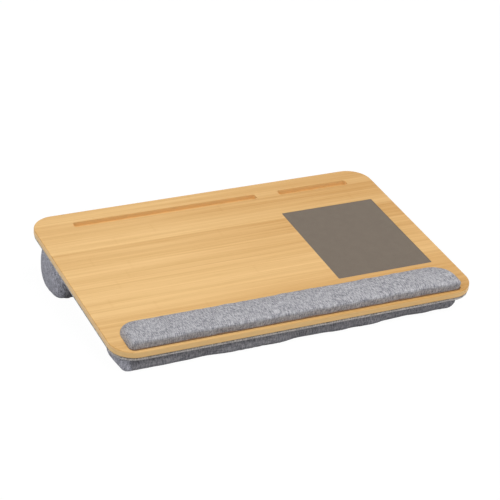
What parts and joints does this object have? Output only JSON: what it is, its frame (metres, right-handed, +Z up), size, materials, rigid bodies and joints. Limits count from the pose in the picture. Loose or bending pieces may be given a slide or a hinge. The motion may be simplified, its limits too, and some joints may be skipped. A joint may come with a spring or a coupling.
{
  "type": "lap desk",
  "caption": "Tilted bamboo lap desk on two fabric bolsters, with a padded wrist rest, an inlaid mouse pad, a pen groove and a phone slot.",
  "frame": {"origin": "centre of the footprint of the whole desk, on the floor under its bolsters", "axes": "+X along the desk's length to the user's right, +Y from the wrist rest to the rear, +Z up"},
  "size_m": [0.523, 0.3468, 0.0869],
  "materials": {
    "bamboo": "clear satin lacquer",
    "leatherette": "matt fine grain",
    "rest_fabric": "heathered weave",
    "cushion_fabric": "heathered weave",
    "end_fabric": "heathered weave",
    "foam": "open-cell foam",
    "stuffing": "loose filling",
    "hardboard": "raw",
    "foam_tape": "matt",
    "adhesive": "tacky film",
    "staple_steel": "zinc plated"
  },
  "bodies": {
    "root": {"top_board": "bamboo", "mouse_pad": "leatherette", "mouse_pad_tape": "adhesive", "wrist_rest_cover": "rest_fabric", "wrist_rest_foam": "foam", "wrist_rest_base": "hardboard", "wrist_rest_tape": "foam_tape", "cushion_panel": "hardboard", "panel_tape": "foam_tape", "base_cloth": "cushion_fabric", "cloth_staples": "staple_steel", "front_bolster_cover": "cushion_fabric", "front_end_panel_left": "end_fabric", "front_end_panel_right": "end_fabric", "front_bolster_fill": "stuffing", "rear_bolster_cover": "cushion_fabric", "rear_end_panel_left": "end_fabric", "rear_end_panel_right": "end_fabric", "rear_bolster_fill": "stuffing"}
  },
  "joints": []
}
